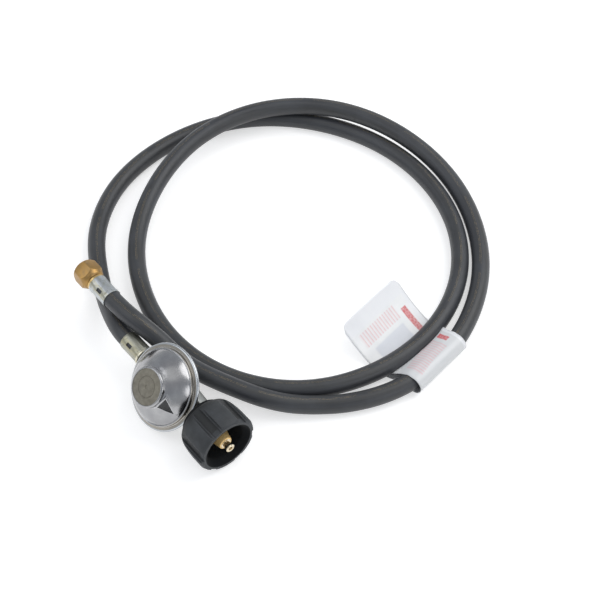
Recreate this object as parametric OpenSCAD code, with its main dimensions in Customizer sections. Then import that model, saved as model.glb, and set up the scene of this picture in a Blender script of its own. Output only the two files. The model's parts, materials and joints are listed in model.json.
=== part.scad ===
// Low-pressure propane regulator with a wheel-nut cylinder inlet, a coiled rubber hose and a flare nut.
// The regulator lies on its side, tilted, with its wheel nut on the floor.

/* [Regulator body] */
// Tilt of the regulator about its port axis, degrees
tilt = 50; // [40:1:56]
// Outside diameter of the bowl at its flange
bowl_top_d = 58.4; // [54:0.2:58.4]
// Outside diameter of the dished bowl at its low corner
bowl_low_d = 35; // [34:0.5:44]
// Depth of the bowl below the port axis
bowl_depth = 12.6; // [12.2:0.1:16]
// Radius of the bowl's outer corner
bowl_corner_r = 6; // [5:0.5:8]
// Wall of the casting
body_wall = 2.6; // [2:0.1:3.2]
// Height of the diaphragm seat above the port axis
seat_h = 8.7; // [8.6:0.1:11]
// Thickness of the casting's flange
flange_t = 1.8; // [1.4:0.1:1.9]
// Distance that the inlet boss stands out past the rim
inlet_boss_out = 0.6; // [0.4:0.1:6]
// Outside diameter of the inlet boss at its end
inlet_boss_d = 23; // [22:0.5:28]
// Outside diameter of the inlet boss at its root
inlet_root_d = 26; // [24:0.5:30]
// Distance that the outlet boss stands out past the rim
outlet_boss_out = 2.6; // [2:0.1:11]
// Outside diameter of the outlet boss
outlet_boss_d = 20; // [18:0.5:24]

/* [Cover] */
// Outside diameter of the cover's crimped rim
rim_d = 66.8; // [66:0.2:80]
// Thickness of the cover over the diaphragm's edge
rim_cap = 1.5; // [1.4:0.1:2.4]
// Outside diameter of the cone at its foot
cone_foot_d = 56.8; // [52:0.2:58]
// Height of the cone's foot above the rim
cone_foot_rise = 3.2; // [2:0.1:4]
// Outside diameter of the cone where it meets the shoulder
cone_top_d = 31.4; // [31.4:0.2:38]
// Bulge of the cone beyond a straight line
cone_bulge = 1.2; // [0:0.1:1.6]
// Height of the tower's flat top
tower_z = 30; // [29.5:0.5:40]
// Outside diameter of the tower's flat top
tower_d = 28.6; // [28.4:0.1:30]
// Wall of the cover
cover_wall = 1.8; // [1.2:0.1:2.4]
// Diameter of the tower's threaded bore
tower_bore_d = 24.6; // [20:0.1:24.8]
// Diameter of the cap that closes the tower
cap_d = 27.8; // [25:0.1:28]

/* [Diaphragm and valve] */
// Travel of the diaphragm from open to shut
stroke = 2; // [1:0.1:2.2]
// Thickness of the diaphragm
diaphragm_t = 0.8; // [0.5:0.1:1.2]
// Diameter of the diaphragm's pressure plate
plate_d = 38; // [30:1:39]
// Outside diameter of the main spring
main_spring_d = 19; // [16:0.5:22]
// Wire of the main spring
main_wire = 1.5; // [1.2:0.1:1.6]
// Distance of the lever's pin from the centre
pin_x = 9; // [8.6:0.1:10]
// Depth of the lever's pin below the port axis
pin_drop = 6.5; // [6.3:0.1:6.8]
// Diameter of the lever's pin
pin_d = 2; // [1.5:0.1:2.2]
// Diameter of the valve slide
slide_d = 8; // [6:0.1:8]
// Diameter of the pressure post
post_d = 4; // [3:0.1:4]
// Diameter of the valve orifice
orifice_d = 3; // [1.5:0.1:4]

/* [Cylinder inlet] */
// Diameter of the nipple's sealing land
nipple_d = 14.8; // [14:0.1:15.2]
// Length of the nipple's sealing land
nipple_land = 8; // [6:0.5:10]
// Across-corners size of the nipple's hexagon
nipple_hex_d = 21; // [18:0.5:24]
// Length of the nipple's taper
nipple_taper = 10; // [5:0.5:11]
// Length of the nose beyond the taper
nose_len = 5.7; // [4:0.1:7]
// Radius of the gas passage ahead of the flow check
check_r = 4.2; // [3.6:0.1:4.4]
// Travel of the excess-flow poppet
poppet_travel = 2; // [1:0.1:2.2]
// Outside diameter of the thermal bushing
bushing_d = 20.2; // [19:0.1:22]
// Free float of the bushing along the nipple
bushing_float = 1.5; // [0.5:0.1:2]

/* [Wheel nut] */
// Diameter over the nut's grip lobes
nut_d = 49; // [46:0.5:56]
// Diameter between the lobes
nut_valley_d = 43.8; // [42:0.2:45.5]
// Length of the nut
nut_len = 34.2; // [32:0.1:38]
// Number of grip lobes
lobes = 6; // [5:1:8]
// Angle that one lobe spans, degrees
lobe_span = 35; // [26:1:38]
// Angle of the first lobe from the top, degrees
lobe_phase = 8.5; // [0:0.5:20]
// Diameter of the thread cavity
thread_d = 33.2; // [30:0.2:36]
// Diameter of the mouth's lead-in
mouth_d = 39.6; // [36:0.2:40]
// Thickness of the nut's back web
nut_web = 4; // [3:0.1:6]

/* [Outlet and hose] */
// Outside diameter of the hose
hose_d = 14.5; // [12:0.1:14.8]
// Diameter of the hose's bore
hose_bore_d = 9.9; // [8:0.1:10.4]
// Outside diameter of a crimped ferrule
ferrule_d = 16; // [15.6:0.1:17]
// Length of a ferrule
ferrule_len = 20; // [16:0.5:24]
// Thickness of a ferrule's back web
ferrule_web = 2; // [1:0.1:3]
// Across-flats size of the flare nut
flare_af = 19.05; // [17:0.05:22.2]
// Length of the flare nut
flare_len = 17; // [16:0.5:24]
// Diameter of the flare nut's thread
flare_thread_d = 14.5; // [14:0.1:16]

/* [Tag] */
// Width of the folded tag along the hose
tag_w = 62; // [50:1:70]
// Thickness of the tag's sheet
tag_t = 0.3; // [0.2:0.05:0.4]

/* [Hidden] */
$fn = 72;
e = 0.02;              // overlap that keeps cuts clean
gap = 0.3;             // clear space between pieces of different bodies
fit = 0.05;            // radial clearance of a fitted pair
run = 0.06;            // radial clearance of a running pair

// Bowl, and the bosses that carry the ports past the rim
rim_r = rim_d / 2;
inlet_boss_x = rim_r + inlet_boss_out;
outlet_boss_x = rim_r + outlet_boss_out;
low_r = bowl_low_d / 2;
top_r = bowl_top_d / 2;
flange_z = seat_h - flange_t;
crimp_t = 0.8;
crimp_z = flange_z - crimp_t;
corner_x = low_r - bowl_corner_r;
corner_z = bowl_corner_r - bowl_depth;
top_gap = [top_r - corner_x, crimp_z - corner_z];
wall_turn = atan2(top_gap[1], top_gap[0]) - acos(bowl_corner_r / norm(top_gap));
cavity_floor = body_wall - bowl_depth;
inner_corner_r = max(1, bowl_corner_r - body_wall);

// Cover
crimp_r = rim_r - 3.8;
flange_r = rim_r - 3.2 - fit;
under_r = rim_r - 3;
cone_foot_r = cone_foot_d / 2;
seat_r = cone_foot_r - 2;
rim_top = seat_h + diaphragm_t + rim_cap;
cone_foot_z = rim_top + cone_foot_rise;
cone_top_r = cone_top_d / 2;
tower_r = tower_d / 2;
shoulder_r = 1.2;
tower_side = 3;
cone_top_z = tower_z - tower_side;
cone_slope = (cone_foot_r - cone_top_r) / (cone_top_z - cone_foot_z);
sleeve_r = tower_bore_d / 2 + 2.2;
sleeve_z = tower_z - 12;
roof_z = cone_top_z - cover_wall;
cap_t = 2;
cap_seat_z = tower_z - cap_t;
screw_t = 4;
screw_z = tower_z - 7;
function cone_r(z) = cone_foot_r - (z - cone_foot_z) * cone_slope;

// Top of the bowl's inner wall, a wall's thickness inside its outer one
outer_side = [top_r, crimp_z] - body_wall * [cos(wall_turn), sin(wall_turn)];
inner_top_z = outer_side[1] + (outer_side[0] - seat_r) / tan(wall_turn);

// Diaphragm stack
plate_t = 1.2;
plate_z = seat_h + diaphragm_t + 0.1;
spring_foot_z = plate_z + plate_t + 0.1;
spring_top_z = screw_z - 0.1;
post_r = post_d / 2;
collar_r = post_r + 1.2;
collar_t = 1.3;
arm_t = 1.6;
lower_collar_z = -pin_drop - arm_t / 2 - 1;
upper_collar_z = -pin_drop + arm_t / 2 + 0.6;
post_head_r = 5;
post_top_z = plate_z + 10.5;
retainer_t = 1.2;
relief_d = 8.4;
relief_wire = 0.9;

// Lever and valve, along the port axis
hub_r = 2;
lever_short = 5;
slide_r = slide_d / 2;
slide_back = 4;
slide_front = 15.2;
disc_r = slide_r - 0.6;
disc_front = slide_front + 0.4;
valve_travel = stroke * lever_short / pin_x;
lip_x = disc_front + valve_travel + 0.05;
guide_x = 12;
guide_r = slide_r + 2.1;
orifice_x = 18;
orifice_r = 5.2;
shank_x = 27;
shank_r = 5.2;
tine_in = post_r + 0.35;
tine_out = tine_in + 1.6;

// Inlet, along the port axis
hex_t = 2.8;
hex_x = inlet_boss_x + hex_t;
nut_x = inlet_boss_x + 0.4;
nut_skirt = hex_x + 0.3 - nut_x;
bushing_x = hex_x + 0.2;
land_r = nipple_d / 2;
back_land_r = land_r + 0.1;
bushing_bore_r = back_land_r + run;
flange_front = nut_x + nut_skirt + nut_web + 0.1 + 1.8;
ring_x = flange_front + bushing_float + 0.1;
ring_t = 3;
ring_r = land_r + 1;
groove_r = land_r - 0.5;
land_end = ring_x + ring_t + nipple_land;
taper_end = land_end + nipple_taper;
tip_x = taper_end + nose_len;
nose_r = 4.9;
check_x = ring_x + ring_t;
poppet_front = check_x + 10;
cage_x = poppet_front + 0.2;
tip_r = 3.5;
tip_neck_r = 2.8;
tip_t = 2.6;
tip_bore_r = 1.7;

// Wheel nut
nut_r = nut_d / 2;
nut_hole_r = bushing_d / 2 + 0.1;
bushing_flange_r = thread_d / 2 - 3.6;
skirt_r = 16.8;
skirt_bore_r = nipple_hex_d / 2 + 1;
mouth_run = 5;
// Grip, as [drop below the full radius, distance from the back]
grip_swell = [[4, 4.8], [3, 5.8], [1.9, 8], [1.1, 11], [0.4, 16], [0, 22]];

// Place of the regulator: it stands on its wheel nut, and the origin is the middle of the floor under it.
corner_reach = corner_x * sin(tilt) - corner_z * cos(tilt) + bowl_corner_r;
rim_reach = rim_r * sin(tilt) - crimp_z * cos(tilt);
axis_h = max(nut_r, corner_reach, rim_reach);
tower_reach = (tower_z - shoulder_r) * sin(tilt) + tower_r * cos(tilt) + shoulder_r;
reg_at = [(outlet_boss_x - tip_x) / 2, (tower_reach - nut_r) / 2, axis_h];

// Hose ends
hose_r = hose_d / 2;
collar_len = 2;
hose_grip = ferrule_len - ferrule_web;
stem_neck_r = 5;
stem_bore_r = 3.3;
barb_r = hose_bore_d / 2 - fit;
start_at = reg_at - [outlet_boss_x + collar_len + ferrule_len, 0, 0];
fitting_at = [-108, 11.8, 37.2];

// Hose route: two hand-laid turns about the coil's middle, every 24 degrees clockwise from 204 degrees,
// each as [radius, lift above the floor's height], between a hand-laid lead and tail.
lie = hose_r + 0.2;
coil_at = [-85, 175];
coil_from = 204;
coil_step = 24;
coil_rows = [
  [164, 0], [158.5, 0], [152, 0], [142.5, 0], [136, 0], [132.5, 0], [133, 0], [136, 0.4],
  [140.5, 0.9], [145.5, 0.9], [149.5, 0.4], [146, 0], [138.5, 0], [131.5, 0],
  [130, 1], [131.5, 6.5], [138, 12.5], [145, 14.8], [148, 14.8], [146.5, 12.6], [148.5, 4],
  [149, 0.4], [153.5, 0.2], [161.5, 0.5]
];
lead_points = [
  [-97, 6.5, 22.4], [-111.4, 11.2, 18], [-127.3, 17.2, 13.3], [-147.4, 26.2, 9.3], [-171.4, 38.6, 7.7],
  [-203, 61, lie]
];
tail_points = [
  [80.5, 151.7, lie + 0.5], [69, 112, lie + 0.25], [55.5, 89.2, lie + 0.55], [41.4, 69.4, 10.8],
  [25, 54.4, 14.2], [7, 43.8, 16.2], [-10, 35.8, 16.7], [-27, 29.4, 17.2], [-42.5, 24.9, 20],
  [-57, 21.8, 26], [-70.5, 16.4, 34.2], [-84, 12.9, 37.6], [-97, 12, 37.4]
];
head_step = 13;
ring_gap = 24;
hose_sides = 12;

function on_coil(i) = let (a = coil_from - coil_step * i)
  [coil_at[0] + coil_rows[i][0] * cos(a), coil_at[1] + coil_rows[i][0] * sin(a), lie + coil_rows[i][1]];

route = concat(
  [for (k = [1, 0, -1, -2]) start_at + [hose_grip + head_step * k, 0, 0]],
  lead_points,
  [for (i = [0:len(coil_rows) - 1]) on_coil(i)],
  tail_points,
  [for (k = [0:3]) fitting_at - [hose_grip * k / 2, 0, 0]]
);

// Cubic B-spline that runs within a tenth of a millimetre of the points
function controls(p) = [for (i = [0:len(p) - 1])
  i == 0 || i == len(p) - 1 ? p[i] : (8 * p[i] - p[i - 1] - p[i + 1]) / 6];
function spline_at(c, i, t) = (
  pow(1 - t, 3) * c[i] + (3 * pow(t, 3) - 6 * t * t + 4) * c[i + 1]
  + (3 * t + 3 * t * t - 3 * pow(t, 3) + 1) * c[i + 2] + pow(t, 3) * c[i + 3]) / 6;
function span_steps(p, i) = max(1, ceil(norm(p[i + 2] - p[i + 1]) / ring_gap));
function curve(p) = let (c = controls(p), last = len(p) - 4) concat(
  [for (i = [0:last]) for (k = [0:span_steps(p, i) - 1]) spline_at(c, i, k / span_steps(p, i))],
  [spline_at(c, last, 1)]);

// Tube swept along a path that never stands upright, as triangles
function unit(v) = v / norm(v);
function heading(p, i) = unit(p[min(i + 1, len(p) - 1)] - p[max(i - 1, 0)]);
function ring(at, dir, r, n) = let (side = unit(cross([0, 0, 1], dir)), up = cross(dir, side))
  [for (k = [0:n - 1]) at + r * (cos(360 * k / n) * side + sin(360 * k / n) * up)];
module swept_tube(path, r, n) {
  last = len(path) - 1;
  points = concat([for (i = [0:last]) each ring(path[i], heading(path, i), r, n)], [path[0], path[last]]);
  hub = (last + 1) * n;
  faces = concat(
    [for (i = [0:last - 1]) for (k = [0:n - 1]) let (a = i * n + k, b = i * n + (k + 1) % n)
      each [[a, b + n, b], [a, a + n, b + n]]],
    [for (k = [0:n - 1]) each [
      [hub, k, (k + 1) % n], [hub + 1, last * n + (k + 1) % n, last * n + k]]]);
  polyhedron(points = points, faces = faces);
}

// Least gap of the hose to itself, from every ring to every stretch more than four rings away
function to_stretch(q, a, b) = let (d = b - a, t = max(0, min(1, (q - a) * d / (d * d)))) norm(q - a - t * d);
function self_gap(p) = min([for (i = [0:len(p) - 1]) for (j = [i + 5:1:len(p) - 2])
  to_stretch(p[i], p[j], p[j + 1])]) - hose_d;
function sum_to(v, i) = i < 0 ? 0 : v[i] + sum_to(v, i - 1);
hose_path = curve(route);
hose_lengths = [for (i = [0:len(hose_path) - 2]) norm(hose_path[i + 1] - hose_path[i])];
echo(hose_length_mm = sum_to(hose_lengths, len(hose_lengths) - 1));
echo(hose_gap_to_itself_mm = self_gap(hose_path));
echo(regulator_at_mm = reg_at);

// Helical spring wire, upright on Z
function helix(r, z0, z1, turns, per_turn) = [for (i = [0:turns * per_turn])
  [r * cos(360 * i / per_turn), r * sin(360 * i / per_turn), z0 + (z1 - z0) * i / (turns * per_turn)]];
module spring(d, wire, z0, z1, turns) {
  swept_tube(helix((d - wire) / 2, z0 + wire / 2, z1 - wire / 2, turns, 12), wire / 2, 6);
}

// Points of an arc from angle a0 to a1
function arc(cx, cy, r, a0, a1, n = 6) = [for (i = [0:n]) let (a = a0 + (a1 - a0) * i / n)
  [cx + r * cos(a), cy + r * sin(a)]];

module on_regulator() translate(reg_at) rotate([tilt, 0, 0]) children();
module on_port_axis() translate(reg_at) rotate([0, 90, 0]) children();
module on_start() translate(start_at) rotate([0, 90, 0]) children();
module on_fitting() translate(fitting_at) rotate([0, -90, 0]) children();
module along_x(x0, x1, r) translate([x0, 0, 0]) rotate([0, 90, 0]) cylinder(r = r, h = x1 - x0);
module tube(r_out, r_in, h) difference() {
  cylinder(r = r_out, h = h);
  translate([0, 0, -e]) cylinder(r = r_in, h = h + 2 * e);
}

// ---------------------------------------------------------------- regulator shell

module bowl_outside() rotate_extrude() polygon(concat(
  [[0, -bowl_depth]],
  arc(corner_x, corner_z, bowl_corner_r, -90, wall_turn),
  [[top_r, crimp_z], [top_r, seat_h], [0, seat_h]]));

module bowl_inside() rotate_extrude() polygon(concat(
  [[0, cavity_floor]],
  arc(corner_x, corner_z, inner_corner_r, -90, wall_turn),
  [[seat_r, inner_top_z], [seat_r, seat_h + e], [0, seat_h + e]]));

module port_bosses() {
  translate([12, 0, 0]) rotate([0, 90, 0])
    cylinder(h = inlet_boss_x - 12, r1 = inlet_root_d / 2, r2 = inlet_boss_d / 2);
  translate([-outlet_boss_x, 0, 0]) rotate([0, 90, 0])
    cylinder(h = outlet_boss_x - 12, r = outlet_boss_d / 2);
}

module casting_shell() difference() {
  union() {
    difference() {
      union() {
        bowl_outside();
        port_bosses();
      }
      // the cover's rim sweeps round the flange
      translate([0, 0, crimp_z - gap]) cylinder(r = 2 * rim_r, h = rim_r);
    }
    translate([0, 0, flange_z]) cylinder(r = flange_r, h = flange_t);
    translate([0, 0, crimp_z - gap - e]) cylinder(r = crimp_r - gap, h = flange_t + crimp_t + gap);
  }
  bowl_inside();
}

// Sleeve that guides the valve slide and holds the orifice, and the two ears of the lever's pin
module valve_cradle() {
  along_x(guide_x, orifice_x - 1.6, guide_r);
  along_x(orifice_x - 1.6, shank_x - 1, orifice_r + 2.2);
  for (side = [-1, 1]) translate([pin_x, side * (tine_out + 1.9), 0]) {
    translate([0, 0, -pin_drop]) rotate([90, 0, 0]) cylinder(r = pin_d / 2 + 1.5, h = 3, center = true);
    translate([-pin_d / 2 - 1.5, -1.5, cavity_floor - 1]) cube([pin_d + 3, 3, -pin_drop - cavity_floor + 1]);
  }
}

module lower_body() color([0.62, 0.63, 0.62]) on_regulator() difference() {
  union() {
    casting_shell();
    valve_cradle();
  }
  along_x(guide_x - 1, orifice_x + e, slide_r + run);
  along_x(orifice_x, shank_x + e, orifice_r + fit);
  along_x(shank_x, inlet_boss_x + 1, shank_r + fit);
  // gas windows beside the valve seat
  translate([slide_front + 0.3, -8.3, -2.4]) cube([orifice_x - slide_front - 0.7, 16.6, 4.8]);
  // outlet passage and socket
  along_x(-outlet_boss_x - 1, 10 - outlet_boss_x, shank_r + fit);
  along_x(9 - outlet_boss_x, -18, stem_bore_r);
  // lever pin
  translate([pin_x, 0, -pin_drop]) rotate([90, 0, 0]) cylinder(r = pin_d / 2 + fit, h = 24, center = true);
}

// The vent hood is a wedge on the cone: a ridge from its apex to its toe, and a flat mouth beside it
function polar(az, r, z) = [r * cos(az), r * sin(az), z];
hood_apex = polar(13.9, cone_top_r + 2.4, cone_top_z + 0.3);
hood_low = polar(-26.8, cone_top_r + 0.8, cone_top_z + 0.9);
hood_toe = polar(-12.1, cone_foot_r - 1.1, cone_foot_z + 2.3);
hood_root = [
  polar(28, cone_r(25) - 0.5, 25), polar(6, cone_r(15) - 0.5, 15),
  polar(-20, cone_r(15.6) - 0.5, 15.6), polar(-38, cone_r(25.5) - 0.5, 25.5), polar(-10, cone_r(21) - 3, 21)
];
mouth = [hood_apex, hood_low, hood_toe];
mouth_mid = (hood_apex + hood_low + hood_toe) / 3;
mouth_normal = unit(cross(hood_low - hood_apex, hood_toe - hood_apex));

// Triangular prism on the hood's mouth, drawn in from its edges and set from depth a to depth b
module mouth_prism(shrink, a, b) {
  tri = [for (p = mouth) mouth_mid + (p - mouth_mid) * shrink];
  hull() polyhedron(
    points = concat([for (p = tri) p - mouth_normal * a], [for (p = tri) p - mouth_normal * b]),
    faces = [[0, 1, 2], [5, 4, 3], [0, 3, 4], [0, 4, 1], [1, 4, 5], [1, 5, 2], [2, 5, 3], [2, 3, 0]]);
}

module cover_profile() {
  // crimped rim, flat flange, rounded lip, bulging cone and the tower
  lip_r = cone_foot_r + 1.3;
  lip_round = 0.7;
  rim_round = 1.3;
  run_r = cone_foot_r - cone_top_r;
  rise = cone_top_z - cone_foot_z;
  away = [rise, run_r] / norm([rise, run_r]);
  polygon(concat(
    [[crimp_r, crimp_z], [under_r, crimp_z]],
    arc(rim_r - rim_round, rim_top - rim_round, rim_round, -32, 90, 6),
    [[lip_r + 0.3, rim_top], [lip_r, rim_top + 0.3]],
    arc(lip_r - lip_round, cone_foot_z - 0.9, lip_round, 0, 100, 5),
    [[cone_foot_r + 0.1, cone_foot_z - 0.5]],
    [for (i = [0:6]) let (t = i / 6) [cone_foot_r - run_r * t, cone_foot_z + rise * t]
      + away * cone_bulge * 4 * t * (1 - t)],
    arc(tower_r, tower_z - shoulder_r, shoulder_r, 0, 90, 5),
    [[cap_d / 2 + fit, tower_z], [cap_d / 2 + fit, cap_seat_z], [tower_bore_d / 2, cap_seat_z],
     [tower_bore_d / 2, sleeve_z], [sleeve_r, sleeve_z], [sleeve_r, roof_z],
     [max(sleeve_r, cone_r(roof_z) - cover_wall), roof_z], [cone_foot_r - cover_wall, cone_foot_z],
     [seat_r, cone_foot_z - 1], [seat_r, seat_h + diaphragm_t], [flange_r + fit, seat_h + diaphragm_t],
     [flange_r + fit, flange_z - fit], [crimp_r, flange_z - fit]]));
}

module diaphragm_cover() color([0.72, 0.72, 0.74]) on_regulator() difference() {
  union() {
    rotate_extrude() cover_profile();
    difference() {
      hull() polyhedron(points = concat(mouth, hood_root), faces = [[0, 1, 2], [3, 4, 5], [5, 6, 7]]);
      // keep the hood out of the spring chamber
      rotate_extrude() polygon([[0, 0], [cone_foot_r - cover_wall, cone_foot_z],
        [cone_r(roof_z) - cover_wall, roof_z], [0, roof_z]]);
    }
  }
  mouth_prism(0.82, -1, 0.9);
  // vent passage from the mouth into the chamber
  mouth_prism(0.22, 0.5, 9);
}

module vent_screen() color([0.22, 0.22, 0.23]) on_regulator() mouth_prism(0.81, 0.4, 0.9);

module tower_cap() color([0.44, 0.42, 0.38]) on_regulator() translate([0, 0, cap_seat_z]) difference() {
  cylinder(r = cap_d / 2, h = cap_t - 0.2);
  // concentric groove and centre dimple
  translate([0, 0, cap_t - 0.6]) tube(8.3, 7.6, 1);
  translate([0, 0, cap_t - 0.8]) cylinder(r = 1.6, h = 1);
}

module adjusting_screw() color([0.78, 0.7, 0.45]) on_regulator() translate([0, 0, screw_z]) difference() {
  cylinder(r = tower_bore_d / 2 - fit, h = screw_t);
  translate([0, 0, 1.2]) cylinder(r = 5.6, h = screw_t, $fn = 6);
}

// ---------------------------------------------------------------- diaphragm stack

module diaphragm() color([0.12, 0.12, 0.13]) on_regulator() rotate_extrude() {
  t = diaphragm_t;
  hill = 2;
  fold_r = (plate_d / 2 + seat_r) / 2 + 0.4;
  polygon(concat(
    [[post_r + 0.4, seat_h], [fold_r - hill, seat_h]],
    arc(fold_r, seat_h, hill, 180, 0, 8),
    [[flange_r - 0.4, seat_h], [flange_r - 0.4, seat_h + t]],
    arc(fold_r, seat_h + t, hill + 0.4, 0, 180, 8),
    [[post_r + 0.4, seat_h + t]]));
}

module diaphragm_plate() color([0.7, 0.68, 0.55]) on_regulator() translate([0, 0, plate_z]) {
  difference() {
    union() {
      cylinder(r = plate_d / 2, h = plate_t);
      tube(plate_d / 2, plate_d / 2 - 1.2, plate_t + 2);
    }
    translate([0, 0, -e]) cylinder(r = post_r + 0.2, h = plate_t + 2 * e);
    for (k = [0:5]) rotate(60 * k) translate([plate_d / 2 - 4.5, 0, -e])
      cylinder(r = 1.4, h = plate_t + 2 * e);
  }
}

module pressure_post() color([0.8, 0.66, 0.36]) on_regulator() {
  translate([0, 0, lower_collar_z - collar_t]) cylinder(r = post_r, h = post_top_z - lower_collar_z + collar_t);
  translate([0, 0, lower_collar_z - collar_t]) cylinder(r = collar_r, h = collar_t);
  translate([0, 0, upper_collar_z]) cylinder(r = collar_r, h = collar_t);
  translate([0, 0, seat_h - 1.6]) cylinder(r = post_head_r, h = 1.5);
}

module relief_retainer() color([0.7, 0.7, 0.72]) on_regulator()
  translate([0, 0, post_top_z - retainer_t - 1]) difference() {
    cylinder(r = relief_d / 2 + 0.6, h = retainer_t);
    translate([0, 0, -e]) cylinder(r = post_r + fit, h = retainer_t + 2 * e);
  }

module relief_spring() color([0.75, 0.75, 0.77]) on_regulator()
  spring(relief_d, relief_wire, spring_foot_z, post_top_z - retainer_t - 1.1, 4);

module main_spring() color([0.75, 0.75, 0.77]) on_regulator()
  spring(main_spring_d, main_wire, spring_foot_z, spring_top_z, 4);

// ---------------------------------------------------------------- lever and valve

module lever() color([0.7, 0.7, 0.72]) on_regulator() translate([pin_x, 0, -pin_drop]) difference() {
  union() {
    rotate([90, 0, 0]) cylinder(r = hub_r, h = 2 * tine_out, center = true);
    translate([-pin_x + collar_r + 0.8, -tine_out, -arm_t / 2])
      cube([pin_x - collar_r - 0.8, 2 * tine_out, arm_t]);
    for (side = [-1, 1]) translate([-pin_x - 1.5, side * (tine_in + tine_out) / 2 - 0.8, -arm_t / 2])
      cube([pin_x, 1.6, arm_t]);
    // short arm with a rounded tip
    translate([-0.9, -1.6, 0]) cube([1.8, 3.2, lever_short - 0.9]);
    translate([0, 0, lever_short - 0.9]) rotate([90, 0, 0]) cylinder(r = 0.9, h = 3.2, center = true);
  }
  rotate([90, 0, 0]) cylinder(r = pin_d / 2 + run, h = 2 * tine_out + 1, center = true);
}

module lever_pin() color([0.6, 0.6, 0.62]) on_regulator() translate([pin_x, 0, -pin_drop]) rotate([90, 0, 0])
  cylinder(r = pin_d / 2, h = 2 * tine_out + 6.4, center = true);

module valve_slide() color([0.8, 0.66, 0.36]) on_regulator() difference() {
  along_x(slide_back, slide_front, slide_r);
  along_x(slide_front - 1.4, slide_front + 1, disc_r);
  // slot for the lever's short arm
  translate([pin_x - 1.9, -2, -slide_r - 1]) cube([3.2, 4, slide_r + 1 - 0.7]);
}

module seat_disc() color([0.1, 0.1, 0.1]) on_regulator() along_x(slide_front - 1.4, disc_front, disc_r - fit);

module orifice() color([0.82, 0.68, 0.38]) on_regulator() difference() {
  union() {
    along_x(orifice_x, shank_x - 0.5, orifice_r);
    translate([lip_x, 0, 0]) rotate([0, 90, 0])
      cylinder(h = orifice_x - lip_x + e, r1 = orifice_d / 2 + 0.5, r2 = 3.4);
  }
  along_x(lip_x - 1, shank_x, orifice_d / 2);
}

// ---------------------------------------------------------------- cylinder inlet

module inlet_nipple() color([0.83, 0.68, 0.36]) on_port_axis() difference() {
  union() {
    translate([0, 0, shank_x]) cylinder(r = shank_r, h = inlet_boss_x - shank_x + e);
    translate([0, 0, inlet_boss_x]) cylinder(r = nipple_hex_d / 2, h = hex_t, $fn = 6);
    translate([0, 0, hex_x - e]) cylinder(r = back_land_r, h = ring_x - hex_x + e);
    translate([0, 0, ring_x - e]) cylinder(r = groove_r, h = ring_t + 2 * e);
    translate([0, 0, ring_x + ring_t]) cylinder(r = land_r, h = nipple_land);
    translate([0, 0, land_end]) rotate_extrude() polygon(concat(
      [[0, 0], [land_r, 0]], [[nose_r + 0.5, nipple_taper - 0.8]],
      arc(nose_r - 0.3, nipple_taper - 0.8, 0.8, 0, 90, 4), [[0, nipple_taper]]));
  }
  translate([0, 0, shank_x - 1]) cylinder(r = 2.4, h = tip_x);
  translate([0, 0, check_x]) cylinder(r = check_r, h = tip_x);
}

module retaining_ring() color([0.7, 0.7, 0.72]) on_port_axis() translate([0, 0, ring_x + fit]) difference() {
  tube(ring_r, groove_r + fit, ring_t - 2 * fit);
  // split, so that it can be sprung into its groove
  translate([-1, 0, -1]) cube([2, ring_r + 2, ring_t + 2]);
}

module thermal_bushing() color([0.16, 0.17, 0.17]) on_port_axis() difference() {
  union() {
    translate([0, 0, bushing_x]) cylinder(r = bushing_d / 2, h = flange_front - bushing_x);
    translate([0, 0, flange_front - 1.8]) cylinder(r = bushing_flange_r, h = 1.8);
  }
  translate([0, 0, bushing_x - 1]) cylinder(r = bushing_bore_r, h = nut_len);
}

// Grip outline: a round valley, broad lobes and a low step at each lobe's side
module sector(r, span) polygon([[0, 0], r * [cos(span / 2), -sin(span / 2)] * 1.2,
  r * [cos(span / 2), sin(span / 2)] * 1.2]);
module nut_outline() {
  circle(r = nut_valley_d / 2);
  for (k = [0:lobes - 1]) rotate(180 - lobe_phase - 360 / lobes * k) {
    intersection() {
      circle(r = nut_r);
      sector(nut_r, lobe_span);
    }
    intersection() {
      circle(r = (nut_r + nut_valley_d / 2) / 2);
      sector(nut_r, lobe_span + 8);
    }
  }
}

module wheel_nut() color([0.19, 0.2, 0.2]) on_port_axis() translate([0, 0, nut_x]) difference() {
  intersection() {
    linear_extrude(height = nut_len) nut_outline();
    // turned envelope: a skirt over the hexagon, a rounded back, a grip that swells forward, and a bevel
    rotate_extrude() polygon(concat(
      [[0, 0], [skirt_r - 0.8, 0], [skirt_r, 0.8], [skirt_r + 0.9, 2.2]],
      [for (p = grip_swell) [nut_r + 0.05 - p[0], p[1]]],
      [[nut_r + 0.05, nut_len - 3.2], [nut_r - 1, nut_len - 0.8], [nut_r - 1.8, nut_len], [0, nut_len]]));
  }
  translate([0, 0, -1]) cylinder(r = skirt_bore_r, h = nut_skirt + 1);
  translate([0, 0, -1]) cylinder(r = nut_hole_r, h = nut_skirt + nut_web + 2);
  translate([0, 0, nut_skirt + nut_web]) cylinder(r = thread_d / 2, h = nut_len);
  translate([0, 0, nut_len - mouth_run]) cylinder(r1 = thread_d / 2, r2 = mouth_d / 2 + e, h = mouth_run + e);
}

module flow_poppet() color([0.75, 0.62, 0.34]) on_port_axis() difference() {
  union() {
    translate([0, 0, poppet_front - 2]) cylinder(r = check_r - 0.08, h = 2);
    translate([0, 0, check_x + poppet_travel + 0.2]) cylinder(r1 = 1.6, r2 = 2.7, h = 1.4);
    translate([0, 0, check_x + poppet_travel + 1.6]) cylinder(r = 2.7, h = 10 - poppet_travel - 3.5);
  }
  // gas flutes in the guiding flange
  for (k = [0:3]) rotate(45 + 90 * k) translate([3.2, -0.9, poppet_front - 3]) cube([3, 1.8, 4]);
}

module poppet_spring() color([0.75, 0.75, 0.77]) on_port_axis()
  spring(2 * check_r - 0.5, 0.5, check_x + 0.05, poppet_front - 2.05, 4);

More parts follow.
